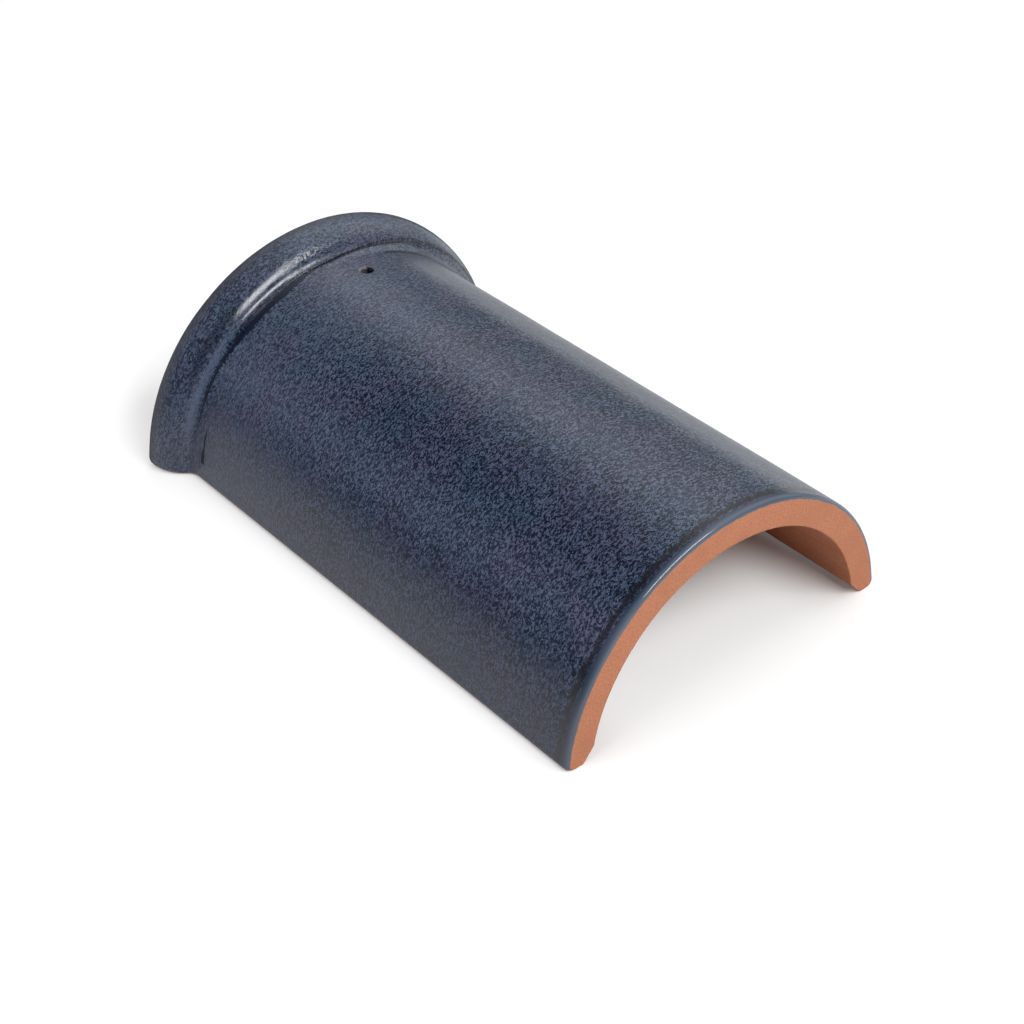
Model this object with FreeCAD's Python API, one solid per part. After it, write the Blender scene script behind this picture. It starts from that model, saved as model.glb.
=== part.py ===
"""Glazed clay ridge tile: a half-round barrel with a beaded collar and a nail hole through the crown.

One fired piece. The tile lies open side down on the floor (z = 0), its length along Y, the plain cut end
at -Y and the collar at +Y. Sizes are in millimetres.
"""
import FreeCAD, Part
import os
from math import acos, cos, hypot, pi, sin, sqrt

# Barrel
LENGTH = 357.0            # overall, plain end to collar end
BARREL_RADIUS = 110.0     # glazed outer face
WALL = 17.7               # clay thickness of the barrel
AXIS_DROP = 10.0          # the barrel's axis lies this far below the floor

# Collar
COLLAR_RISE = 14.5        # top of the bead above the barrel's outer face
COLLAR_TOP = 6.0          # collar end to where the bead's roll begins, end rounding included
ROLL_RADIUS = 22.0        # convex roll of the bead
COVE_RADIUS = 10.0        # hollow between bead and barrel
END_ROUND = 4.5           # outer edge of the collar's end face

# Socket inside the collar, which laps the next tile's plain end
LAP_CLEARANCE = 2.0       # gap all round between the socket and a barrel
SOCKET_DEPTH = 18.0
SOCKET_CORNER = 2.5       # clay left in the corner between the socket's wall and its shoulder
SOCKET_MOUTH = 2.0        # lead-in chamfer of the socket's mouth
SHOULDER_EASE = 2.0       # eased inner edge of the shoulder

# Edges
PLAIN_ARRIS = 2.2         # glazed outer edge of the plain end
PLAIN_EASE = 0.8          # eased inner edge of the plain end
FOOT_ROUND = 4.0          # outer edge of both soles
BEVEL_WIDTH = 6.5         # bevel on the inner edge of both soles, measured along the floor
BEVEL_HEIGHT = 8.0        # the same bevel, measured up the inside

# Nail hole
HOLE_DIAMETER = 6.0
HOLE_RIM = 1.8            # soft rounded rim at the top
HOLE_INSET = 49.0         # collar end to hole centre
HOLE_OFFSET = 9.5         # hole centre beside the crown line, towards +X

BORE_RADIUS = BARREL_RADIUS - WALL
COLLAR_RADIUS = BARREL_RADIUS + COLLAR_RISE
SOCKET_RADIUS = BARREL_RADIUS + LAP_CLEARANCE
PLAIN_Y = -LENGTH / 2
COLLAR_Y = LENGTH / 2
SHOULDER_Y = COLLAR_Y - SOCKET_DEPTH
NEAR = 1e-3


def at(y, radius):
    """Point of the lengthwise profile, on the side of the axis that the floor cuts away."""
    return FreeCAD.Vector(0, y, -AXIS_DROP - radius)


def arc(y, radius, size, start, end):
    """Profile arc about (y, radius); angles run from +Y towards a growing radius."""
    points = [at(y + size * cos(a), radius + size * sin(a)) for a in (start, (start + end) / 2, end)]
    return Part.Arc(*points)


def joined(curves):
    """Wire through the curves in turn, with straight lines between their ends."""
    edges = []
    for curve, following in zip(curves, curves[1:] + curves[:1]):
        edges.append(curve.toShape())
        if (curve.EndPoint - following.StartPoint).Length > NEAR:
            edges.append(Part.LineSegment(curve.EndPoint, following.StartPoint).toShape())
    return Part.Wire(edges)


def profile():
    """Lengthwise section of the ring: barrel, cove, roll, collar end, socket and bore."""
    slope = acos(1 - COLLAR_RISE / (ROLL_RADIUS + COVE_RADIUS))
    roll_y = COLLAR_Y - COLLAR_TOP
    cove_y = roll_y - (ROLL_RADIUS + COVE_RADIUS) * sin(slope)
    mouth_y = COLLAR_Y - SOCKET_MOUTH
    corner_y = SHOULDER_Y + SOCKET_CORNER
    ease_y = SHOULDER_Y - SHOULDER_EASE
    curves = [
        Part.LineSegment(at(PLAIN_Y, BORE_RADIUS + PLAIN_EASE), at(PLAIN_Y, BARREL_RADIUS)),
        arc(cove_y, BARREL_RADIUS + COVE_RADIUS, COVE_RADIUS, -pi / 2, slope - pi / 2),
        arc(roll_y, COLLAR_RADIUS - ROLL_RADIUS, ROLL_RADIUS, slope + pi / 2, pi / 2),
        Part.LineSegment(at(roll_y, COLLAR_RADIUS), at(COLLAR_Y, COLLAR_RADIUS)),
        Part.LineSegment(at(COLLAR_Y, SOCKET_RADIUS + SOCKET_MOUTH), at(mouth_y, SOCKET_RADIUS)),
        Part.LineSegment(at(corner_y, SOCKET_RADIUS), at(SHOULDER_Y, SOCKET_RADIUS - SOCKET_CORNER)),
        Part.LineSegment(at(SHOULDER_Y, BORE_RADIUS + SHOULDER_EASE), at(ease_y, BORE_RADIUS)),
        Part.LineSegment(at(PLAIN_Y + PLAIN_EASE, BORE_RADIUS), at(PLAIN_Y, BORE_RADIUS + PLAIN_EASE)),
    ]
    return Part.Face(joined(curves))


def arch():
    """The ring cut off at the floor."""
    ring = profile().revolve(FreeCAD.Vector(0, 0, -AXIS_DROP), FreeCAD.Vector(0, 1, 0), 360)
    reach = COLLAR_RADIUS + WALL
    above = Part.makeBox(2 * reach, LENGTH + 2 * WALL, reach, FreeCAD.Vector(-reach, PLAIN_Y - WALL, 0))
    return ring.common(above)


def bevel(side):
    """Wedge that bevels the inner edge of one sole; side is -1 or 1."""
    floor_x = sqrt(BORE_RADIUS ** 2 - AXIS_DROP ** 2)
    top_x = sqrt(BORE_RADIUS ** 2 - (AXIS_DROP + BEVEL_HEIGHT) ** 2)
    inside_x = top_x - WALL
    corners = [(floor_x + BEVEL_WIDTH, 0), (top_x, BEVEL_HEIGHT), (inside_x, BEVEL_HEIGHT), (inside_x, 0)]
    points = [FreeCAD.Vector(side * x, PLAIN_Y, z) for x, z in corners]
    wedge = Part.Face(Part.makePolygon(points + points[:1]))
    return wedge.extrude(FreeCAD.Vector(0, LENGTH, 0))


def rounded(solid, radius, wanted):
    """Rounds the edges whose midpoint passes the test."""
    edges = []
    for edge in solid.Edges:
        middle = edge.valueAt((edge.FirstParameter + edge.LastParameter) / 2)
        if wanted(middle):
            edges.append(edge)
    return solid.makeFillet(radius, edges)


def from_axis(point):
    return hypot(point.x, point.z + AXIS_DROP)


def sole_outer(point):
    inner = SOCKET_RADIUS + SOCKET_MOUTH if point.y > SHOULDER_Y else BARREL_RADIUS - NEAR
    lengthwise = PLAIN_Y + NEAR < point.y < COLLAR_Y - NEAR
    return lengthwise and point.z < NEAR and from_axis(point) > inner


def plain_outer(point):
    return point.y < PLAIN_Y + NEAR and from_axis(point) > BARREL_RADIUS - NEAR


def collar_outer(point):
    return point.y > COLLAR_Y - NEAR and from_axis(point) > COLLAR_RADIUS - NEAR


def nail_hole():
    foot = FreeCAD.Vector(HOLE_OFFSET, COLLAR_Y - HOLE_INSET, 0)
    return Part.makeCylinder(HOLE_DIAMETER / 2, COLLAR_RADIUS, foot)


def hole_mouth(point):
    aside = hypot(point.x - HOLE_OFFSET, point.y - (COLLAR_Y - HOLE_INSET))
    return aside < HOLE_DIAMETER / 2 + NEAR and from_axis(point) > BARREL_RADIUS - NEAR


def ridge_tile():
    tile = arch()
    for side in (-1, 1):
        tile = tile.cut(bevel(side))
    tile = rounded(tile, FOOT_ROUND, sole_outer)
    tile = rounded(tile, PLAIN_ARRIS, plain_outer)
    tile = rounded(tile, END_ROUND, collar_outer)
    tile = tile.cut(nail_hole())
    tile = rounded(tile, HOLE_RIM, hole_mouth)
    return tile


tile = ridge_tile()
os.makedirs("parts", exist_ok=True)
tile.exportStep("parts/ridge_tile.step")
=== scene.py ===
from math import acos, asin, cos, degrees, hypot, pi, radians, sin
import bpy
from mathutils import Matrix, Vector


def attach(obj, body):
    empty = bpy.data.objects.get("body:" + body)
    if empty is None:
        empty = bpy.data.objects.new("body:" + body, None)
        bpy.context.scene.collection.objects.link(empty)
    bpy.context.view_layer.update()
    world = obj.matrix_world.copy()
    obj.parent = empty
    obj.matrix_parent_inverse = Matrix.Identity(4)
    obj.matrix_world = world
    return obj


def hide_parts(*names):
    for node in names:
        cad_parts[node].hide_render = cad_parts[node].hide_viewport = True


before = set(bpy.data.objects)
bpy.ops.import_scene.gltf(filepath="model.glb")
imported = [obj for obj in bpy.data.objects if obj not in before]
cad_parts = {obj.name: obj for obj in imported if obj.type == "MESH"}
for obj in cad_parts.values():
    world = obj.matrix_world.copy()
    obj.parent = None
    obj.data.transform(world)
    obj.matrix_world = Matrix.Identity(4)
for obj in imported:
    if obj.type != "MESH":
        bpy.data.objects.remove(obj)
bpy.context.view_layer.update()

# Ridge tile
# One piece of pressed red clay, half round, with a beaded collar that laps the next tile's plain end.
# The outside carries a run blue glaze burnt in at the firing; the cut end, the inside and the soles stay
# bare clay. A nail through the hole beside the crown holds it on the ridge. Sizes are in metres.
half_length = 0.1785
barrel = 0.110              # radius of the glazed outside
bore = 0.0923               # radius of the inside
axis_drop = 0.010           # the barrel's axis lies this far below the floor
collar_rise = 0.0145        # top of the bead above the barrel
collar_top = 0.006          # collar end to where the bead's roll begins
roll = 0.022                # radius of the bead's roll
cove = 0.010                # radius of the hollow between bead and barrel
end_round = 0.0045          # outer edge of the collar's end
socket = 0.112              # radius of the socket inside the collar
socket_depth = 0.018
socket_edge = 0.0022        # rounding of the socket's mouth, corner and shoulder
socket_straight = 0.0126    # stretch of the socket's wall with even cells
plain_arris = 0.0028        # outer edge of the plain end
plain_ease = 0.0008         # inner edge of the plain end
foot_round = 0.004          # outer edge of the soles
collar_foot_round = 0.0065  # the same at the top of the bead
bevel_width = 0.0065        # bevel on the inner edge of the soles, along the floor
bevel_height = 0.008        # the same bevel, up the inside
bevel_spread = 0.003        # room for the end face's cells beside the bevel
hole_across = 0.0095        # nail hole beside the crown line
hole_along = half_length - 0.049
hole_radius = 0.003
hole_rim = 0.0018           # soft rounded rim at the top
crease_climb = 0.075        # how far the crease under the bead nears the collar's end per metre across

# Cells of the mesh: even squares round the nail hole, which the tree below draws into rings
hole_cells = 7              # from the hole's middle to its mouth
hole_calm = 17              # from its middle to where the plain mesh begins
cell = (hole_radius + hole_rim) / hole_cells
hole_rows = [cell * step for step in range(-hole_calm, hole_calm + 1)]


def spaced(start, end, parts):
    """Even positions from start to end."""
    return [start + (end - start) * i / parts for i in range(parts + 1)]


def graded(start, end, gap):
    """Positions from start to end whose spacing follows gap(position)."""
    parts = 2000
    fine = spaced(start, end, parts)
    cells = [0.0]
    for here, there in zip(fine, fine[1:]):
        cells.append(cells[-1] + abs(there - here) / gap((here + there) / 2))
    count = max(1, round(cells[-1]))
    picked = []
    i = 0
    for wanted in spaced(0.0, cells[-1], count):
        while i < parts - 1 and cells[i + 1] < wanted:
            i += 1
        share = (wanted - cells[i]) / (cells[i + 1] - cells[i])
        picked.append(fine[i] + (fine[i + 1] - fine[i]) * share)
    return picked


def past_hole(start, end, hole, coarse, edge):
    """Positions from start to end: even cells round the hole, small ones at both ends, wide ones between."""
    growth = 0.12

    def gap(position):
        from_hole = abs(position - hole) - hole_calm * cell
        from_end = min(abs(position - start), abs(position - end))
        return min(coarse, cell + growth * max(from_hole, 0), edge + growth * from_end)

    way = 1 if end > start else -1
    rows = [hole + way * row for row in hole_rows]
    return graded(start, rows[0], gap)[:-1] + rows + graded(rows[-1], end, gap)[1:]


def bend(y, radius, size, start, end, parts):
    """Points of a profile arc about (y, radius); angles in degrees run from +Y towards a growing radius."""
    turns = [radians(turn) for turn in spaced(start, end, parts)]
    return [(y + size * cos(turn), radius + size * sin(turn)) for turn in turns]


# Lengthwise profile, as points (y, radius): plain end's face, outside, collar's end face, inside
slope = acos(1 - collar_rise / (roll + cove))
steep = degrees(slope)
fine_turn = 12              # degrees of the roll beside the cove that have fine cells, for the crease
collar = barrel + collar_rise
collar_flat = collar - end_round
roll_y = half_length - collar_top
cove_y = roll_y - (roll + cove) * sin(slope)
mouth_y = half_length - socket_edge
shoulder_y = half_length - socket_depth
arris_y = plain_arris - half_length
ease_y = plain_ease - half_length
outside_y = past_hole(arris_y, cove_y, hole_along, coarse=0.0025, edge=0.0006)
inside_y = past_hole(shoulder_y - socket_edge, ease_y, hole_along, coarse=0.005, edge=0.0008)
plain_face = [(-half_length, r) for r in spaced(bore + plain_ease, barrel - plain_arris, parts=9)]
outside = bend(arris_y, barrel - plain_arris, plain_arris, 180, 90, parts=8)
outside += [(y, barrel) for y in outside_y[1:]]
outside += bend(cove_y, barrel + cove, cove, -90, steep - 90, parts=36)[1:]
outside += bend(roll_y, collar - roll, roll, steep + 90, steep + 90 - fine_turn, parts=14)[1:]
outside += bend(roll_y, collar - roll, roll, steep + 90 - fine_turn, 90, parts=16)[1:]
outside += bend(half_length - end_round, collar_flat, end_round, 90, 0, parts=9)
collar_face = [(half_length, r) for r in spaced(collar_flat, socket + socket_edge, parts=5)[1:]]
inside = bend(mouth_y, socket + socket_edge, socket_edge, 0, -90, parts=4)[1:]
inside += [(y, socket) for y in spaced(mouth_y, mouth_y - socket_straight, parts=5)[1:]]
inside += bend(shoulder_y + socket_edge, socket - socket_edge, socket_edge, 90, 180, parts=4)
inside += [(shoulder_y, r) for r in spaced(socket - socket_edge, bore + socket_edge, parts=5)[1:-1]]
inside += bend(shoulder_y - socket_edge, bore + socket_edge, socket_edge, 0, -90, parts=4)
inside += [(y, bore) for y in inside_y[1:]]
inside += bend(ease_y, bore + plain_ease, plain_ease, -90, -180, parts=4)[1:-1]

# The same points with how far outside each lies: 1 on the glazed face, 0 on the inside
profile = [(y, r, (r - bore) / (barrel - bore)) for y, r in plain_face[:-1]]
glaze_start = len(profile)
profile += [(y, r, 1.0) for y, r in outside]
glaze_end = len(profile) - 1
profile += [(y, r, (r - socket) / (collar_flat - socket)) for y, r in collar_face]
profile += [(y, r, 0.0) for y, r in inside]
path = [0.0]
for (y0, r0, _), (y1, r1, _) in zip(profile, profile[1:]):
    path.append(path[-1] + hypot(y1 - y0, r1 - r0))

# The arch that the profile follows, as shares of the way from the right foot to the left one
foot_angle = asin(axis_drop / barrel)
arch_length = barrel * (pi - 2 * foot_angle)
hole_arc = barrel * (acos(hole_across / barrel) - foot_angle)
arch = [arc / arch_length for arc in past_hole(0, arch_length, hole_arc, coarse=0.003, edge=0.00035)]

# Mesh that the tree starts from: the closed profile and the arch as two lines of edges
count = len(profile)
points = [(0, y, r) for y, r, _ in profile] + [(share, 0, 0) for share in arch]
edges = [(i, (i + 1) % count) for i in range(count)]
edges += [(count + i, count + i + 1) for i in range(len(arch) - 1)]
lines = bpy.data.meshes.new("tile_lines")
lines.from_pydata(points, edges, [])
foot_growth = (collar_foot_round - foot_round) / collar_rise
least_reach = -0.02
most_reach = 0.05
to_border = [min(s - path[glaze_start], path[glaze_end] - s) for s in path]
columns = {
    "outside": [share for _, _, share in profile],
    "foot": [foot_round + foot_growth * max(0, r - barrel) for _, r, _ in profile],
    "glaze_reach": [max(least_reach, min(most_reach, s)) for s in to_border],
    "path": path,
}
for name, values in columns.items():
    lines.attributes.new(name, "FLOAT", "POINT").data.foreach_set("value", values + [0.0] * len(arch))
is_arch = [0] * count + [1] * len(arch)
lines.attributes.new("is_arch", "BOOLEAN", "POINT").data.foreach_set("value", is_arch)
draft = bpy.data.objects.new("tile_draft", lines)
bpy.context.scene.collection.objects.link(draft)


def add_node(tree, kind, inputs=None, **settings):
    """Adds a node, with its settings, and its inputs as values or as sockets to link."""
    made = tree.nodes.new(kind)
    for name, value in settings.items():
        setattr(made, name, value)
    for key, value in (inputs or {}).items():
        if isinstance(value, bpy.types.NodeSocket):
            tree.links.new(value, made.inputs[key])
        else:
            made.inputs[key].default_value = value
    return made


def work_out(tree, operation, *values, **settings):
    """Socket of a Math node on the values or sockets given."""
    made = add_node(tree, "ShaderNodeMath", dict(enumerate(values)), operation=operation, **settings)
    return made.outputs[0]


def mapped(tree, value, low, high, start=0.0, end=1.0, kind="LINEAR"):
    """Socket that goes from start to end as the value goes from low to high."""
    span = {"Value": value, "From Min": low, "From Max": high, "To Min": start, "To Max": end}
    return add_node(tree, "ShaderNodeMapRange", span, interpolation_type=kind).outputs["Result"]


def eased(tree, value, low, high, start=0.0, end=1.0):
    """The same, with a smooth start and end."""
    return mapped(tree, value, low, high, start, end, "SMOOTHSTEP")


# Tree that sweeps the profile round the arch, rounds the feet, pierces the nail hole and lets the face wave
sweep = bpy.data.node_groups.new("ridge_tile_sweep", "GeometryNodeTree")
sweep.interface.new_socket("Lines", in_out="INPUT", socket_type="NodeSocketGeometry")
sizes = {
    "Axis drop": axis_drop,
    "Barrel radius": barrel,
    "Bore radius": bore,
    "Hole across": hole_across,
    "Hole along": hole_along,
    "Hole radius": hole_radius,
    "Hole rim": hole_rim,
    "Hole calm": hole_calm * cell,
    "Bevel width": bevel_width,
    "Bevel height": bevel_height,
    "Bevel spread": bevel_spread,
    "Crease along": half_length - 0.0284,
    "Crease climb": crease_climb,
    "Crease half width": 0.0007,
    "Crease depth": 0.0009,
    "Wave depth": 0.0004,
    "Wave size": 0.045,
    "Dimple depth": 0.00012,
    "Dimple size": 0.011,
}
ids = {}
for name in sizes:
    ids[name] = sweep.interface.new_socket(name, in_out="INPUT", socket_type="NodeSocketFloat").identifier
finish_input = sweep.interface.new_socket("Finish", in_out="INPUT", socket_type="NodeSocketMaterial")
ids["Finish"] = finish_input.identifier
sweep.interface.new_socket("Tile", in_out="OUTPUT", socket_type="NodeSocketGeometry")
given = sweep.nodes.new("NodeGroupInput").outputs


def calc(operation, *values):
    return work_out(sweep, operation, *values)


def squared(value):
    return calc("MULTIPLY", value, value)


def inverse(share):
    return calc("SUBTRACT", 1.0, share)


def split_up(vector):
    return add_node(sweep, "ShaderNodeSeparateXYZ", {"Vector": vector}).outputs


def joined(x, y, z):
    return add_node(sweep, "ShaderNodeCombineXYZ", {"X": x, "Y": y, "Z": z}).outputs["Vector"]


def point_value(name, kind="FLOAT"):
    made = add_node(sweep, "GeometryNodeInputNamedAttribute", {"Name": name}, data_type=kind)
    return made.outputs["Attribute"]


def altered(kind, geometry, inputs, **settings):
    """Geometry as a node of this kind leaves it."""
    return add_node(sweep, kind, {"Geometry": geometry, **inputs}, **settings).outputs["Geometry"]


def store(geometry, name, value, kind="FLOAT", chosen=True):
    inputs = {"Name": name, "Value": value, "Selection": chosen}
    return altered("GeometryNodeStoreNamedAttribute", geometry, inputs, data_type=kind, domain="POINT")


def drop_values(geometry, names):
    for name in names:
        geometry = altered("GeometryNodeRemoveAttribute", geometry, {"Name": name})
    return geometry


def moved(geometry, to, chosen=True):
    return altered("GeometryNodeSetPosition", geometry, {"Position": to, "Selection": chosen})


place = sweep.nodes.new("GeometryNodeInputPosition").outputs["Position"]
rail_or_ring = {"Geometry": given["Lines"], "Selection": point_value("is_arch", "BOOLEAN")}
halves = add_node(sweep, "GeometryNodeSeparateGeometry", rail_or_ring, domain="POINT").outputs
rail = drop_values(halves["Selection"], columns)
rail = add_node(sweep, "GeometryNodeMeshToCurve", {"Mesh": rail}).outputs["Curve"]
rail = store(rail, "arch", split_up(place)["X"])
ring = add_node(sweep, "GeometryNodeMeshToCurve", {"Mesh": halves["Inverted"]}).outputs["Curve"]
ring = store(ring, "section", place, "FLOAT_VECTOR")
curves = {"Curve": rail, "Profile Curve": ring, "Fill Caps": True}
swept = add_node(sweep, "GeometryNodeCurveToMesh", curves).outputs["Mesh"]

# Place on the arch: every radius runs from floor to floor
section = split_up(point_value("section", "FLOAT_VECTOR"))
along = section["Y"]
radius = section["Z"]
arch_share = point_value("arch")
drop = given["Axis drop"]


def arch_angle(of_radius):
    low_turn = calc("ARCSINE", calc("DIVIDE", drop, of_radius))
    return calc("MULTIPLY_ADD", arch_share, calc("MULTIPLY_ADD", low_turn, -2.0, pi), low_turn)


def leg(long_side, short_side):
    """Third side of a right-angled triangle."""
    return calc("SQRT", calc("SUBTRACT", squared(long_side), squared(short_side)))


def height_at(of_radius, x):
    return calc("SUBTRACT", leg(of_radius, x), drop)


angle = arch_angle(radius)
flat_x = calc("MULTIPLY", radius, calc("COSINE", angle))
flat_z = calc("MULTIPLY_ADD", radius, calc("SINE", angle), calc("MULTIPLY", drop, -1.0))
above_floor = calc("MAXIMUM", flat_z, 0.0)

# Feet: rounded outside, bevelled inside
foot = point_value("foot")
outward = point_value("outside")
below = calc("SUBTRACT", foot, calc("MINIMUM", above_floor, foot))
tuck = calc("MULTIPLY", calc("SUBTRACT", foot, leg(foot, below)), outward)
bevel_foot = calc("ADD", leg(given["Bore radius"], drop), given["Bevel width"])
bevel_top = leg(given["Bore radius"], calc("ADD", drop, given["Bevel height"]))
bevel_x = mapped(sweep, flat_z, 0.0, given["Bevel height"], bevel_foot, bevel_top)
bevel_x = calc("MULTIPLY_ADD", outward, given["Bevel spread"], bevel_x)
beside_bevel = calc("LESS_THAN", flat_z, given["Bevel height"])
rounded_x = calc("SUBTRACT", calc("ABSOLUTE", flat_x), tuck)
shaped_x = calc("MAXIMUM", rounded_x, calc("MULTIPLY", bevel_x, beside_bevel))
foot_x = calc("MULTIPLY", shaped_x, calc("SIGN", flat_x))

# Nail hole: the square rows of cells round it are drawn into rings, and those inside its mouth are taken out
at_barrel = calc("MULTIPLY", given["Barrel radius"], calc("COSINE", arch_angle(given["Barrel radius"])))
across = calc("SUBTRACT", at_barrel, given["Hole across"])
beside = calc("SUBTRACT", along, given["Hole along"])
square = calc("MAXIMUM", calc("ABSOLUTE", across), calc("ABSOLUTE", beside))
nearly_none = 1e-6
from_axis = calc("SQRT", calc("ADD", squared(across), squared(beside)))
from_axis = calc("MAXIMUM", from_axis, nearly_none)
mouth = calc("ADD", given["Hole radius"], given["Hole rim"])
at_mouth = calc("COMPARE", square, mouth, calc("MULTIPLY", mouth, 0.5 / hole_cells))
square = calc("ADD", calc("MULTIPLY", mouth, at_mouth), calc("MULTIPLY", square, inverse(at_mouth)))
narrowing = mapped(sweep, outward, 0.0, 1.0, calc("DIVIDE", given["Hole radius"], mouth), 1.0)
ring_scale = calc("MULTIPLY", narrowing, calc("DIVIDE", square, from_axis))
plain_share = eased(sweep, square, mouth, given["Hole calm"])


def by_hole(drawn_in, plain):
    ringed = calc("MULTIPLY", drawn_in, inverse(plain_share))
    return calc("MULTIPLY_ADD", plain, plain_share, ringed)


tile_x = by_hole(calc("MULTIPLY_ADD", across, ring_scale, given["Hole across"]), foot_x)
tile_y = by_hole(calc("MULTIPLY_ADD", beside, ring_scale, given["Hole along"]), along)
near_hole = calc("LESS_THAN", plain_share, 1.0)
tile_z = calc("ADD", calc("MULTIPLY", height_at(radius, tile_x), near_hole),
              calc("MULTIPLY", above_floor, inverse(near_hole)))
glaze_run = joined(calc("MULTIPLY", angle, given["Barrel radius"]), point_value("path"), 0.0)
swept = store(swept, "glaze_run", glaze_run, "FLOAT_VECTOR")
swept = store(swept, "across", calc("DIVIDE", across, from_axis))
swept = store(swept, "beside", calc("DIVIDE", beside, from_axis))
swept = store(swept, "square", square)
swept = moved(swept, joined(tile_x, tile_y, tile_z))
nearly_all = 0.999
in_mouth = calc("LESS_THAN", point_value("square"), calc("MULTIPLY", mouth, nearly_all))
swept = altered("GeometryNodeDeleteGeometry", swept, {"Selection": in_mouth}, domain="FACE")

# The hole's rim and wall: rings let down from its mouth until they meet the inside
middle = calc("MULTIPLY", calc("ADD", given["Barrel radius"], given["Bore radius"]), 0.5)
faces_beside = sweep.nodes.new("GeometryNodeInputMeshEdgeNeighbors").outputs["Face Count"]
open_edge = calc("COMPARE", faces_beside, 1.0, 0.1)
ring_edge = calc("MULTIPLY", open_edge, calc("GREATER_THAN", radius, middle))
rim_steps = 7
for step in range(1, rim_steps + 2):
    pull = {"Mesh": swept, "Selection": ring_edge, "Offset Scale": 0.0}
    pulled = add_node(sweep, "GeometryNodeExtrudeMesh", pull, mode="EDGES").outputs
    ring_edge = pulled["Top"]
    turn = radians(90) * min(step, rim_steps) / rim_steps
    ring_radius = calc("MULTIPLY_ADD", given["Hole rim"], 1 - sin(turn), given["Hole radius"])
    ring_x = calc("MULTIPLY_ADD", point_value("across"), ring_radius, given["Hole across"])
    ring_y = calc("MULTIPLY_ADD", point_value("beside"), ring_radius, given["Hole along"])
    if step > rim_steps:
        ring_z = height_at(given["Bore radius"], ring_x)
    else:
        sunk = calc("MULTIPLY", given["Hole rim"], cos(turn) - 1)
        ring_z = calc("ADD", height_at(given["Barrel radius"], ring_x), sunk)
    swept = moved(pulled["Mesh"], joined(ring_x, ring_y, ring_z), ring_edge)
bare_reach = -0.05
seam = 1e-5
swept = store(swept, "glaze_reach", bare_reach, chosen=ring_edge)
swept = altered("GeometryNodeMergeByDistance", swept, {"Distance": seam})

# Crease and wave: a sharp crease under the bead, which fades at the feet; and as hand-pressed clay and run
# glaze are never quite true, a slow wave and dimples, only inwards, with none on the soles
here = split_up(place)
off_soles = eased(sweep, here["Z"], 0.0, 0.006)
off_feet = eased(sweep, here["Z"], 0.020, 0.050)
on_glaze = calc("GREATER_THAN", outward, nearly_all)
on_right = calc("MAXIMUM", here["X"], 0.0)
crease_y = calc("MULTIPLY_ADD", on_right, given["Crease climb"], given["Crease along"])
from_crease = calc("ABSOLUTE", calc("SUBTRACT", here["Y"], crease_y))
off_crease = calc("DIVIDE", from_crease, given["Crease half width"])
crease = calc("MULTIPLY", eased(sweep, off_crease, 0.0, 1.0, 1.0, 0.0), on_glaze)
depth = calc("MULTIPLY", calc("MULTIPLY", crease, off_feet), given["Crease depth"])
for name in ("Wave", "Dimple"):
    swell = {"Vector": place, "Scale": calc("DIVIDE", 1.0, given[name + " size"]), "Detail": 1.0}
    noise = add_node(sweep, "ShaderNodeTexNoise", swell).outputs["Fac"]
    depth = calc("MULTIPLY_ADD", noise, given[name + " depth"], depth)
inwards = calc("MULTIPLY", calc("MULTIPLY", depth, off_soles), -1.0)
push = {0: sweep.nodes.new("GeometryNodeInputNormal").outputs["Normal"], "Scale": inwards}
offset = add_node(sweep, "ShaderNodeVectorMath", push, operation="SCALE").outputs["Vector"]
swept = altered("GeometryNodeSetPosition", swept, {"Offset": offset})
used_up = ("outside", "foot", "path", "arch", "section", "across", "beside", "square", "is_arch")
swept = drop_values(swept, used_up)
sole = calc("LESS_THAN", here["Z"], seam)
swept = altered("GeometryNodeSetShadeSmooth", swept, {"Shade Smooth": True})
swept = altered("GeometryNodeSetShadeSmooth", swept, {"Selection": sole, "Shade Smooth": False})
swept = altered("GeometryNodeRealizeInstances", swept, {})
swept = altered("GeometryNodeSetMaterial", swept, {"Material": given["Finish"]})
add_node(sweep, "NodeGroupOutput", {"Tile": swept})

# Finish: blue glaze that broke light on the edges and ran dark below them, over grainy red clay, with some
# highlights, reflections and shade painted into its colour
finish = bpy.data.materials.new("glazed_clay")
finish.use_nodes = True
coat = finish.node_tree
spot = coat.nodes.new("ShaderNodeTexCoord").outputs["Object"]
spot_x, spot_y, spot_z = add_node(coat, "ShaderNodeSeparateXYZ", {"Vector": spot}).outputs
down_slope = add_node(coat, "ShaderNodeAttribute", attribute_name="glaze_run").outputs["Vector"]
reach = add_node(coat, "ShaderNodeAttribute", attribute_name="glaze_reach").outputs["Fac"]


def shade(operation, *values, **settings):
    return work_out(coat, operation, *values, **settings)


def times(share, *others):
    for other in others:
        share = shade("MULTIPLY", share, other)
    return share


def rest_of(share):
    return shade("SUBTRACT", 1.0, share)


def fade(value, low, high, start=0.0, end=1.0):
    return eased(coat, value, low, high, start, end)


def fade_across(left, full_left, full_right, right, full=1.0):
    """Share that is full between two places across the tile, and fades out on both sides."""
    return times(fade(spot_x, left, full_left), fade(spot_x, full_right, right, full, 0.0))


def fade_to_collar(start, end, before=0.0, after=1.0):
    """Share that changes towards the collar, between two distances from its end."""
    return fade(spot_y, half_length - start, half_length - end, before, after)


def grain(vector, size, detail=2.0, rough=0.5, twist=0.0):
    """Noise whose features are about this size, in metres."""
    inputs = {"Vector": vector, "Scale": 1 / size, "Detail": detail, "Roughness": rough, "Distortion": twist}
    return add_node(coat, "ShaderNodeTexNoise", inputs).outputs["Fac"]


def drawn_out(vector, scale):
    """Coordinates in which a grain is drawn out along the axes with a scale under 1."""
    return add_node(coat, "ShaderNodeMapping", {"Vector": vector, "Scale": scale}).outputs["Vector"]


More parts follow.
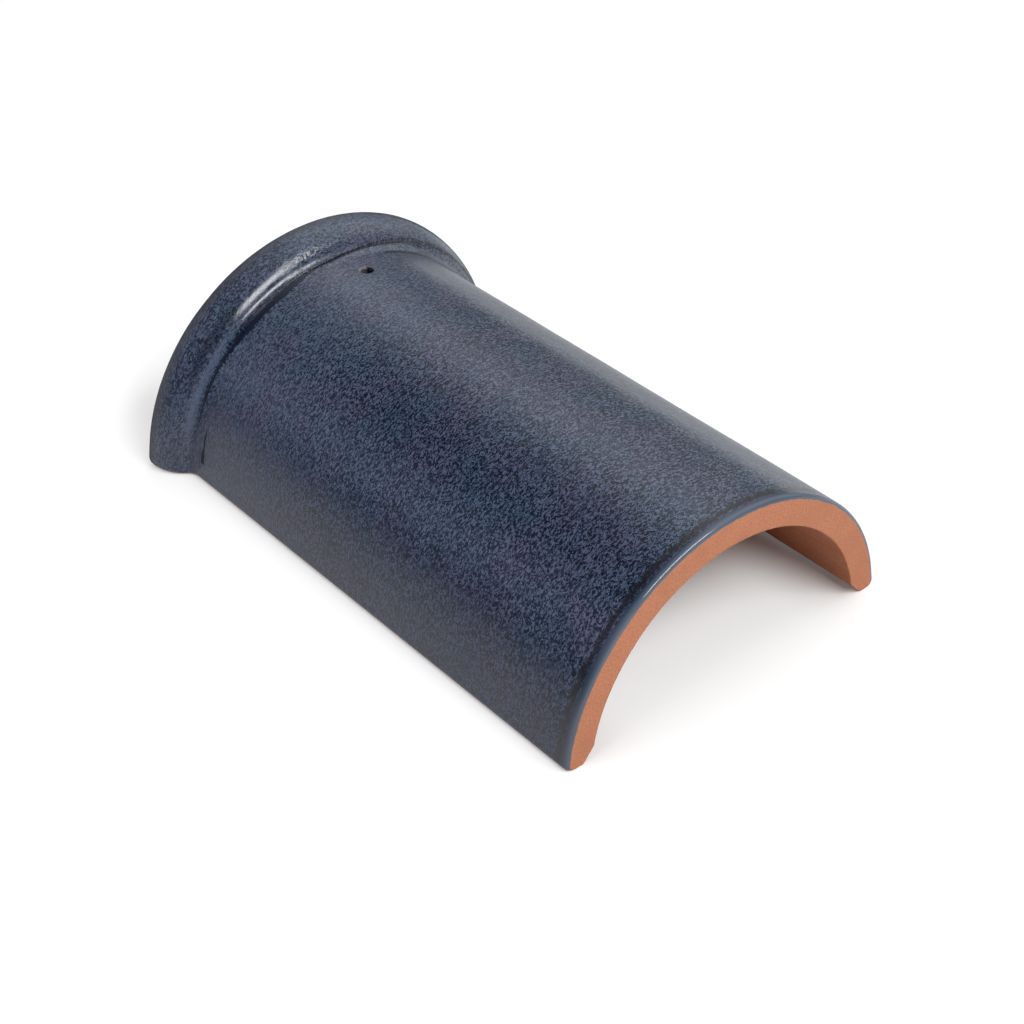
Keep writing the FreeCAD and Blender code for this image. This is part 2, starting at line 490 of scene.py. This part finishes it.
def swayed(value, noise, amount):
    """The value, moved to and fro by a noise."""
    return shade("MULTIPLY_ADD", shade("SUBTRACT", noise, 0.5), amount, value)


def off_line(value, line, half_width):
    """Distance from a line, in half widths of it."""
    return shade("DIVIDE", shade("ABSOLUTE", shade("SUBTRACT", value, line)), half_width)


def climbing(value):
    """Place along the tile, measured from a line that climbs to the right as the crease does."""
    return shade("MULTIPLY_ADD", shade("MAXIMUM", spot_x, 0.0), -crease_climb, value)


def blend(tree, share, under, over, kind="MIX"):
    """Colour mixed from two by a share; sockets 0, 6, 7 and 2 are a colour Mix node's own."""
    inputs = {0: share, 6: under, 7: over}
    return add_node(tree, "ShaderNodeMix", inputs, data_type="RGBA", blend_type=kind).outputs[2]


def laid(share, under, over):
    return blend(coat, share, under, (*over, 1))


def tinted(share, under, tint):
    return blend(coat, share, under, blend(coat, 1.0, under, (*tint, 1), "MULTIPLY"))


def stops(value, *colours):
    """Colour ramp from (place, colour) pairs."""
    made = add_node(coat, "ShaderNodeValToRGB", {"Fac": value})
    ramp = made.color_ramp
    while len(ramp.elements) < len(colours):
        ramp.elements.new(1.0)
    for element, (stop, colour) in zip(ramp.elements, colours):
        element.position = stop
        element.color = (*colour, 1)
    return made.outputs["Color"]


# Glaze: short dark and light dashes drawn out down the slope, in patches of stronger and weaker grain,
# strongest on the left shoulder, calm on the crown and at the arris, and mottled at the bead's foot
contrast = fade(grain(spot, 0.016), 0.35, 0.65, 1.30, 2.25)
contrast = times(contrast, fade(spot_z, 0.035, 0.085, 1.05, 1.2), fade(reach, 0.0050, 0.0080))
left_side = times(fade(spot_x, -0.085, -0.065, 1.0, 1.35), fade(spot_x, -0.032, -0.008, 1.0, 0.55))
right_side = fade(spot_x, 0.050, 0.085, 0.7, 1.0)
contrast = times(contrast, shade("MAXIMUM", left_side, right_side))
mottled = times(fade_to_collar(0.027, 0.023), fade(spot_z, 0.030, 0.065, 1.2, 0.0))
contrast = shade("MULTIPLY_ADD", contrast, mottled, contrast)
dark_roll = times(fade_to_collar(0.020, 0.016), fade(spot_x, -0.035, -0.010, -0.09, 0.0))
dark_roll = times(dark_roll, fade(spot_x, -0.085, -0.060, 0.4, 1.0))
tone = shade("ADD", fade(spot_y, 0.02, 0.13, 0.5, 0.54), dark_roll)
dash = grain(drawn_out(down_slope, (0.58, 1.0, 1.0)), 0.00115, detail=2.5, twist=1.2)
dash = swayed(tone, dash, contrast)
blue = stops(dash, (0.36, (0.001, 0.005, 0.013)), (0.46, (0.004, 0.012, 0.031)),
             (0.54, (0.027, 0.047, 0.083)), (0.66, (0.066, 0.095, 0.143)))
violet = stops(dash, (0.36, (0.002, 0.004, 0.014)), (0.46, (0.008, 0.013, 0.033)),
               (0.54, (0.038, 0.045, 0.081)), (0.66, (0.080, 0.091, 0.141)))
glaze = blend(coat, fade(grain(spot, 0.03), 0.40, 0.66), blue, violet)

# Broad tones: milky towards the collar and darker low down, and along the left shoulder a painted dark
# reflection of the dim room behind
milky_blue = (0.056, 0.068, 0.100)
low_tint = (0.40, 0.37, 0.58)
dark_reflection_tint = (0.74, 0.78, 0.84)
glaze = laid(fade(spot_y, 0.03, 0.13, 0.0, 0.20), glaze, milky_blue)
low_barrel = times(fade(spot_z, 0.015, 0.070, 0.9, 0.0), fade_to_collar(0.030, 0.024, 1.0, 0.5))
glaze = tinted(low_barrel, glaze, low_tint)
# Painted dark reflection: the left shoulder darkened where the glaze mirrors the dim room behind
painted_dark_reflection = times(fade_across(-0.085, -0.060, -0.040, -0.015), fade(spot_y, 0.02, 0.10, 1.0, 0.0))
glaze = tinted(painted_dark_reflection, glaze, dark_reflection_tint)

# Where the glaze ran: thin and light over the plain end's arris, lighter still left of the crown as a
# painted highlight, thin and brownish over the collar's edge, dark in a ragged band behind the arris and in
# the cove below the bead
band_black = (0.005, 0.004, 0.007)
edge_grey = (0.046, 0.046, 0.052)
arris_pale_and_highlight = (0.092, 0.116, 0.152)
pool_navy = (0.001, 0.004, 0.015)
at_collar = shade("GREATER_THAN", spot_y, 0.0)
at_plain_end = rest_of(at_collar)
wavy = swayed(reach, grain(spot, 0.0035, detail=3.0, rough=0.7), 0.012)
band = times(fade(reach, 0.0060, 0.0080), fade(wavy, 0.0095, 0.0120, 0.88, 0.0), at_plain_end)
glaze = laid(band, glaze, band_black)
edge_brown = times(fade(wavy, 0.0075, 0.0150, 0.65, 0.0), at_collar)
glaze = laid(edge_brown, glaze, edge_grey)
# Thin light glaze over the plain end's arris, strongest left of the crown, where it is a painted highlight
thin_edge_and_highlight = times(fade(reach, 0.0015, 0.0062, 0.9, 0.0), at_plain_end)
thin_edge_and_highlight = times(thin_edge_and_highlight, fade(spot_x, -0.020, 0.030, 1.0, 0.6), fade(spot_x, -0.095, -0.070, 0.7, 1.0))
glaze = laid(thin_edge_and_highlight, glaze, arris_pale_and_highlight)
pool_y = half_length - 0.0282
wander = swayed(spot_y, grain(drawn_out(down_slope, (1.0, 0.3, 1.0)), 0.0014, detail=1.5), 0.0048)
wide = fade_across(-0.085, -0.060, -0.035, -0.012)
pool_half = shade("MULTIPLY_ADD", wide, 0.0017, 0.0008)
pool = off_line(climbing(shade("MULTIPLY_ADD", wide, 0.0014, wander)), pool_y, pool_half)
pool = times(fade(pool, 0.8, 1.5, 1.0, 0.0), fade(spot_z, 0.025, 0.050, 0.3, 0.95))
glaze = laid(pool, glaze, pool_navy)

# Finer lines beside that pool: a dark one where the cove meets the barrel on the right, and on the left
# a painted highlight, a light blue reflection line along the bead's foot, with a dark one above it
ledge_black = (0.001, 0.002, 0.006)
crest_highlight_blue = (0.065, 0.088, 0.145)
above_dark = (0.003, 0.005, 0.012)
ledge = off_line(climbing(spot_y), half_length - 0.0345, 0.0015)
ledge = times(fade(ledge, 0.3, 1.4, 1.0, 0.0), fade(spot_x, 0.030, 0.038, 0.0, 0.95))
glaze = laid(ledge, glaze, ledge_black)
# Painted highlight: a light blue reflection line along the bead's foot on the left
painted_crest_highlight = off_line(wander, half_length - 0.0249, 0.0013)
painted_crest_highlight = times(fade(painted_crest_highlight, 0.2, 1.8, 1.0, 0.0), fade(spot_x, -0.085, -0.060, 0.65, 0.0))
painted_crest_highlight = times(painted_crest_highlight, fade(spot_z, 0.012, 0.040))
glaze = laid(painted_crest_highlight, glaze, crest_highlight_blue)
above = off_line(wander, half_length - 0.0204, 0.0022)
above = times(fade(above, 0.3, 1.7, 0.55, 0.0), fade_across(-0.108, -0.092, -0.068, -0.054))
glaze = laid(above, glaze, above_dark)

# Nail hole: the glaze went thin and brown over the rim, painted lighter with a glint on its left side, which
# faces the softbox, and painted dark with shade on the other
rim_across = 0.014
hole_axis = add_node(coat, "ShaderNodeCombineXYZ", {"X": spot_x, "Y": spot_y}).outputs["Vector"]
hole_ends = {0: hole_axis, 1: (hole_across, hole_along, 0.0)}
from_hole = add_node(coat, "ShaderNodeVectorMath", hole_ends, operation="DISTANCE").outputs["Value"]
# Painted light and shade on the rim: lighter with a painted glint on the left, dark shade on the right
thin_rim_and_shade = fade(from_hole, hole_radius + 0.5 * hole_rim, hole_radius + 1.2 * hole_rim, 0.9, 0.0)
hole_right = shade("SUBTRACT", spot_x, hole_across)
hole_back = shade("SUBTRACT", spot_y, hole_along)
lit_to_shaded = shade("MULTIPLY_ADD", shade("SUBTRACT", hole_right, hole_back), 1 / rim_across, 0.5)
rim_glaze_light_and_shade = stops(lit_to_shaded, (0.04, (0.20, 0.19, 0.185)), (0.15, (0.085, 0.078, 0.074)),
                 (0.36, (0.075, 0.066, 0.062)), (0.50, (0.004, 0.005, 0.008)))
glaze = blend(coat, thin_rim_and_shade, glaze, rim_glaze_light_and_shade)

# Tick: a short dark flaw in the glaze at the left foot, beside the collar
tick_y = 0.1418
tick_top = 0.0330
tick_foot = 0.0125
tick_lean = 0.0006
tick_black = (0.001, 0.002, 0.002)
tick_share = mapped(coat, spot_z, tick_top, tick_foot)
tick_width = fade(tick_share, 0.50, 0.75, 0.0006, 0.0016)
tick = off_line(shade("MULTIPLY_ADD", tick_share, tick_lean, spot_y), tick_y, tick_width)
tick = times(fade(tick, 0.6, 1.1, 1.0, 0.0), shade("LESS_THAN", spot_x, 0.0))
tick = times(tick, fade(spot_z, tick_foot - 0.0005, tick_foot + 0.0006))
tick = times(tick, fade(spot_z, tick_top - 0.004, tick_top + 0.002, 1.0, 0.0))
glaze = laid(times(tick, 0.8), glaze, tick_black)

# Clay: grainy red body with pale grog and a few dark specks, darkened inside by painted shade, with drag
# marks of the mould
blotch_red = (0.37, 0.135, 0.066)
speck_brown = (0.22, 0.085, 0.055)
inside_painted_shade = (0.84, 0.76, 0.70)
drag_brown = (0.24, 0.078, 0.040)
specks_per_metre = 420.0
grit = grain(spot, 0.0011, detail=3.0, rough=0.6)
clay = stops(grit, (0.28, (0.34, 0.124, 0.062)), (0.50, (0.43, 0.165, 0.084)), (0.74, (0.51, 0.218, 0.118)))
clay = laid(fade(grain(spot, 0.014, detail=3.0), 0.35, 0.7, 0.0, 0.45), clay, blotch_red)
speck_grid = {"Vector": spot, "Scale": specks_per_metre}
speck = add_node(coat, "ShaderNodeTexVoronoi", speck_grid).outputs["Distance"]
clay = laid(fade(speck, 0.10, 0.22, 0.35, 0.0), clay, speck_brown)
in_bore = fade(reach, -0.0190, -0.0165, 1.0, 0.0)
# Painted shade: the clay inside the arch darkened and reddened
clay = tinted(in_bore, clay, inside_painted_shade)
lengthwise = grain(drawn_out(spot, (1.0, 0.05, 1.0)), 0.0035, detail=3.0, rough=0.6)
drag = times(fade(lengthwise, 0.42, 0.68), in_bore)
clay = laid(times(drag, 0.30), clay, drag_brown)

# Border of the glaze: ragged by half a millimetre, and a bare line along the soles
ragged = swayed(reach, grain(spot, 0.004, detail=3.0), 0.0012)
dry_foot = shade("MULTIPLY_ADD", grain(spot, 0.006), -0.002, spot_z)
glazed = times(fade(ragged, 0.0001, 0.0007), fade(dry_foot, -0.0004, 0.0006))
colour = blend(coat, glazed, clay, glaze)

# Gloss: wet on the glaze, drier low down, on the collar's edge and in the tick, dry on the clay
clay_rough = 0.92
glaze_rough = 0.15
rough = mapped(coat, glazed, 0.0, 1.0, clay_rough, glaze_rough)
drier = shade("MULTIPLY_ADD", edge_brown, 0.5, fade(spot_z, 0.030, 0.075, 0.20, 0.0))
drier = shade("MULTIPLY_ADD", thin_edge_and_highlight, -0.08, drier)
rough = shade("MULTIPLY_ADD", drier, glazed, rough)
facing = coat.nodes.new("ShaderNodeLayerWeight").outputs["Facing"]
collar_edge = times(fade(reach, 0.010, 0.020, 1.0, 0.0), at_collar)
rough = shade("MULTIPLY_ADD", collar_edge, fade(facing, 0.55, 0.85, 0.0, 0.50), rough)
rough = shade("MULTIPLY_ADD", tick, 0.5, rough)
rough = shade("ADD", rough, fade(facing, 0.60, 0.85, 0.0, 0.22), use_clamp=True)

# Bump: the glaze's peel, rippled on the bead's crown and even on its left; the clay's grit and drag marks
bump_depth = 0.0004
bump_strength = 0.6
peel = shade("MULTIPLY_ADD", grain(spot, 0.005), 0.4, times(dash, 0.25))
rippled = times(fade_to_collar(0.026, 0.022), fade_across(-0.034, -0.014, 0.010, 0.035, 2.0))
peel = shade("MULTIPLY_ADD", grain(spot, 0.0024, detail=1.0), rippled, peel)
even_bead = times(fade_to_collar(0.032, 0.029), fade_across(-0.098, -0.086, -0.038, -0.024, 0.85))
peel = times(peel, fade(reach, 0.0020, 0.0060), rest_of(even_bead))
height = shade("ADD", times(peel, glazed), times(grit, rest_of(glazed)))
height = shade("MULTIPLY_ADD", drag, -0.9, shade("MULTIPLY_ADD", tick, -2.0, height))
relief = {"Height": height, "Strength": bump_strength, "Distance": bump_depth}
bump = add_node(coat, "ShaderNodeBump", relief).outputs["Normal"]
surface = coat.nodes["Principled BSDF"]
coat.links.new(colour, surface.inputs["Base Color"])
coat.links.new(rough, surface.inputs["Roughness"])
coat.links.new(bump, surface.inputs["Normal"])

# The swept mesh, made plain
modifier = draft.modifiers.new("sweep", "NODES")
modifier.node_group = sweep
for name, value in sizes.items():
    modifier[ids[name]] = value
modifier[ids["Finish"]] = finish
bpy.context.view_layer.update()
ready = draft.evaluated_get(bpy.context.evaluated_depsgraph_get())
tile = bpy.data.objects.new("glazed_ridge_tile", bpy.data.meshes.new_from_object(ready))
bpy.context.scene.collection.objects.link(tile)
bpy.data.objects.remove(draft)
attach(tile, "root")
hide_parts("ridge_tile")

# Floor
# A plain white paper sheet under the tile. To the camera and in the glaze it glows white far off as a white
# backdrop, and glows whiter beside the tile and before its ends, where the glow is painted light that lifts
# the shadow; it keeps a soft shadow, which is a little cooler under the arch.
floor_reach = 100.0
paper_white = (0.91, 0.91, 0.91, 1)
paper_in_arch = (0.88, 0.915, 0.92, 1)
corners = [(x * floor_reach, y * floor_reach, 0) for x, y in ((-1, -1), (1, -1), (1, 1), (-1, 1))]
floor_mesh = bpy.data.meshes.new("floor")
floor_mesh.from_pydata(corners, [], [(0, 1, 2, 3)])
floor = bpy.data.objects.new("floor", floor_mesh)
bpy.context.scene.collection.objects.link(floor)
paper = bpy.data.materials.new("white_paper")
paper.use_nodes = True
sheet = paper.node_tree
sheet.nodes.clear()


def paper_sum(operation, *values):
    return work_out(sheet, operation, *values)


on_paper = sheet.nodes.new("ShaderNodeTexCoord").outputs["Object"]
paper_x, paper_y, _ = add_node(sheet, "ShaderNodeSeparateXYZ", {"Vector": on_paper}).outputs
past_side = paper_sum("SUBTRACT", paper_sum("ABSOLUTE", paper_x), bore)
past_end = paper_sum("SUBTRACT", paper_sum("ABSOLUTE", paper_y), half_length)
past_tile = paper_sum("MAXIMUM", past_side, past_end)
tint = blend(sheet, eased(sheet, past_tile, -0.03, 0.03, 1.0, 0.0), paper_white, paper_in_arch)
by_side = eased(sheet, past_side, -0.01, 0.035, 0.0, 0.36)
by_end = paper_sum("MULTIPLY", eased(sheet, past_end, -0.10, -0.03, 0.0, 0.42),
                   eased(sheet, past_side, -0.037, 0.003, 1.0, 0.1))
far_off = eased(sheet, past_tile, 1.0, 3.0, 0.0, 0.8)
# Painted light: the glow beside the tile and before its ends lifts the shadow there; far off it is the white
# backdrop
backdrop_and_painted_glow = paper_sum("MAXIMUM", paper_sum("MAXIMUM", by_side, by_end), far_off)
ray = sheet.nodes.new("ShaderNodeLightPath").outputs
mirrored_ray = paper_sum("MAXIMUM", ray["Is Glossy Ray"], ray["Is Transmission Ray"])
seen = paper_sum("MAXIMUM", ray["Is Camera Ray"], mirrored_ray)
matt = add_node(sheet, "ShaderNodeBsdfDiffuse", {"Color": tint}).outputs["BSDF"]
white = add_node(sheet, "ShaderNodeEmission", {"Color": (1, 1, 1, 1), "Strength": 1.0}).outputs["Emission"]
layers = {"Fac": paper_sum("MULTIPLY", seen, backdrop_and_painted_glow), 1: matt, 2: white}
shown = add_node(sheet, "ShaderNodeMixShader", layers).outputs["Shader"]
add_node(sheet, "ShaderNodeOutputMaterial", {"Surface": shown})
floor_mesh.materials.append(paper)

# Studio light
# A dim room with soft patches that the glaze mirrors: a wide one above the right side, one past the collar,
# a low one on the right, and bluish ones past the collar on the left and low before the plain end. A softbox
# stands off the plain end, and a fill lamp that isn't mirrored hangs above the left side.


def towards(azimuth, elevation):
    """Unit vector; azimuth in degrees from +X towards +Y."""
    flat = cos(radians(elevation))
    return Vector((flat * cos(radians(azimuth)), flat * sin(radians(azimuth)), sin(radians(elevation))))


world = bpy.data.worlds.new("studio")
bpy.context.scene.world = world
world.use_nodes = True
room = world.node_tree
view = room.nodes.new("ShaderNodeTexCoord").outputs["Generated"]


def room_math(operation, inputs, result="Vector"):
    return add_node(room, "ShaderNodeVectorMath", inputs, operation=operation).outputs[result]


# Azimuth, elevation, tightness and colour of each patch
patches = (
    (0, 55, 4.0, (1.58, 1.58, 1.58)),
    (58, 39, 40.0, (0.73, 0.72, 0.80)),
    (5, 10, 8.0, (0.46, 0.46, 0.46)),
    (133, 25, 26.0, (0.55, 0.55, 0.79)),
    (-106, 6, 40.0, (1.0, 1.1, 1.3)),
)
glow = (0.05, 0.05, 0.05)
for azimuth, elevation, tightness, patch_colour in patches:
    turned_to = room_math("DOT_PRODUCT", {0: view, 1: towards(azimuth, elevation)}, "Value")
    patch_share = work_out(room, "POWER", work_out(room, "MAXIMUM", turned_to, 0.0), tightness)
    lit = room_math("SCALE", {0: patch_colour, "Scale": patch_share})
    glow = room_math("ADD", {0: glow, 1: lit})
backdrop = room.nodes["Background"]
room.links.new(glow, backdrop.inputs["Color"])
backdrop.inputs["Strength"].default_value = 1.0

# Name, azimuth, elevation, turn about its own axis, width, height, watts and whether the glaze mirrors it
lamps = (
    ("softbox", -86, 46, 20, 2.1, 0.72, 60, True),
    ("fill", 175, 58, 0, 2.0, 2.0, 38, False),
)
lamp_distance = 3.0
lamp_aim = Vector((-0.03, 0.156, 0.1))
for name, azimuth, elevation, lamp_turn, lamp_width, lamp_height, watts, mirrored in lamps:
    light = bpy.data.lights.new(name, "AREA")
    light.shape = "RECTANGLE"
    light.size = lamp_width
    light.size_y = lamp_height
    light.energy = watts
    lamp = bpy.data.objects.new(name, light)
    outwards = towards(azimuth, elevation)
    turned = outwards.to_track_quat("Z", "Y").to_matrix() @ Matrix.Rotation(radians(lamp_turn), 3, "Z")
    lamp.matrix_world = Matrix.Translation(lamp_aim + outwards * lamp_distance) @ turned.to_4x4()
    lamp.visible_glossy = mirrored
    bpy.context.scene.collection.objects.link(lamp)

# Camera
# Where the photograph was taken from, fitted to the tile's outlines.
# The picture is square, and the focal length was fitted in its pixels.
camera_azimuth = radians(-38.837)
camera_elevation = radians(37.085)
camera_tilt = radians(-1.934)
camera_place = (-0.5568, -0.6996, 0.6780)
picture_side = 1024
focal_pixels = 1994.2
sensor_width = 36
low_cos = cos(camera_elevation)
back = Vector((sin(camera_azimuth) * low_cos, -cos(camera_azimuth) * low_cos, sin(camera_elevation)))
level_right = Vector((cos(camera_azimuth), sin(camera_azimuth), 0))
level_up = back.cross(level_right)
right = level_right * cos(camera_tilt) + level_up * sin(camera_tilt)
up = level_up * cos(camera_tilt) - level_right * sin(camera_tilt)
lens = bpy.data.cameras.new("camera")
lens.sensor_width = sensor_width
lens.lens = sensor_width * focal_pixels / picture_side
camera = bpy.data.objects.new("camera", lens)
camera.matrix_world = Matrix.Translation(camera_place) @ Matrix((right, up, back)).transposed().to_4x4()
bpy.context.scene.collection.objects.link(camera)
bpy.context.scene.camera = camera
bpy.context.scene.view_settings.view_transform = "Standard"
